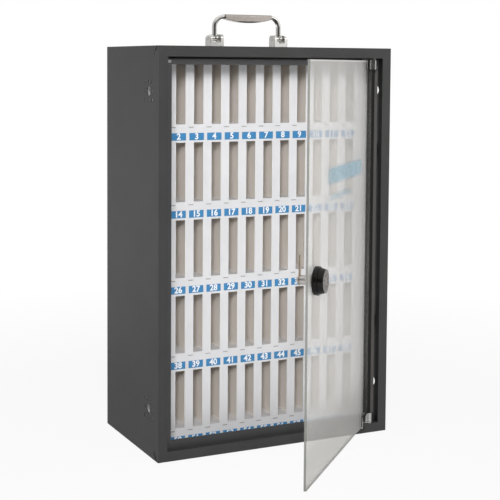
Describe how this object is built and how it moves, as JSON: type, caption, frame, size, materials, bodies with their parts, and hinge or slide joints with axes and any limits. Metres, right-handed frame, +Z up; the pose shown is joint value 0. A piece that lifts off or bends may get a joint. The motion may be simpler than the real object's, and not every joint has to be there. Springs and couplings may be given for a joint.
{
  "type": "cell phone locker box",
  "caption": "Sheet steel cabinet with a rack of numbered upright phone pockets, a clear glass door on pivots with a dial lock, and a folding carrying handle.",
  "frame": {"origin": "centre of the cabinet's bottom face", "axes": "+Z up, -Y out of the front, +X to the right seen from the front; the door's rest pose is open by 45 degrees"},
  "size_m": [0.398, 0.467, 0.6725],
  "materials": {
    "cabinet_paint": "satin dark grey powder coat",
    "stop_paint": "satin dark grey powder coat",
    "rack_paint": "smooth white powder coat",
    "number_label": "satin printed film",
    "door_label": "pale printed film",
    "pad_rubber": "soft matt",
    "black_rubber": "matt",
    "bush_plastic": "black nylon",
    "door_glass": "clear",
    "clip_chrome": "polished",
    "zinc_steel": "bright zinc plate",
    "handle_metal": "satin chrome",
    "lock_plastic": "black, semi-gloss",
    "dial_plastic": "warm grey",
    "cam_plate": "yellow-brown plated",
    "grip_plastic": "satin taupe grey"
  },
  "bodies": {
    "cabinet": {"side_left": "cabinet_paint", "side_right": "cabinet_paint", "top_panel": "cabinet_paint", "bottom_panel": "cabinet_paint", "back_panel": "cabinet_paint", "stop_left": "stop_paint", "stop_right": "stop_paint", "stop_top": "stop_paint", "stop_bottom": "stop_paint", "stop_ties": "stop_paint", "door_pad": "pad_rubber", "keeper": "zinc_steel", "rack_back": "rack_paint", "top_rail": "rack_paint", "rail_1": "rack_paint", "rail_2": "rack_paint", "rail_3": "rack_paint", "rail_4": "rack_paint", "rail_5": "rack_paint", "shelf_1": "rack_paint", "shelf_2": "rack_paint", "shelf_3": "rack_paint", "shelf_4": "rack_paint", "shelf_5": "rack_paint", "dividers_1": "rack_paint", "dividers_2": "rack_paint", "dividers_3": "rack_paint", "dividers_4": "rack_paint", "dividers_5": "rack_paint", "labels_1": "number_label", "labels_2": "number_label", "labels_3": "number_label", "labels_4": "number_label", "labels_5": "number_label", "bracket_left": "handle_metal", "bracket_right": "handle_metal", "bracket_screws": "zinc_steel", "handle_pins": "zinc_steel", "pivot_bushes": "bush_plastic"},
    "door": {"door_glass": "door_glass", "clip_top": "clip_chrome", "clip_bottom": "clip_chrome", "clip_linings": "black_rubber", "clip_screws": "zinc_steel", "pivot_pins": "zinc_steel", "door_label": "door_label", "lock_base": "lock_plastic", "lock_barrel": "zinc_steel", "lock_gaskets": "black_rubber", "lock_nut": "zinc_steel"},
    "lock": {"lock_knob": "lock_plastic", "lock_spindle": "zinc_steel", "cam": "cam_plate", "cam_nut": "zinc_steel"},
    "dial": {"lock_dial": "dial_plastic"},
    "handle": {"handle_bail": "handle_metal", "handle_grip": "grip_plastic"}
  },
  "joints": [
    {"name": "door_swing", "type": "hinge", "parent": "cabinet", "child": "door", "pos_m": [0.1705, -0.108, 0.31], "axis": [0, 0, 1], "range_deg": [-45, 105]},
    {"name": "lock_turn", "type": "hinge", "parent": "door", "child": "lock", "pos_m": [-0.05507, -0.33357, 0.3], "axis": [0.7071, -0.7071, 0], "range_deg": [0, 90]},
    {"name": "dial_turn", "type": "hinge", "parent": "lock", "child": "dial", "pos_m": [-0.05507, -0.33357, 0.3], "axis": [0.7071, -0.7071, 0], "continuous": true},
    {"name": "handle_fold", "type": "hinge", "parent": "cabinet", "child": "handle", "pos_m": [0, 0.005, 0.6345], "axis": [1, 0, 0], "range_deg": [-90, 90]}
  ]
}
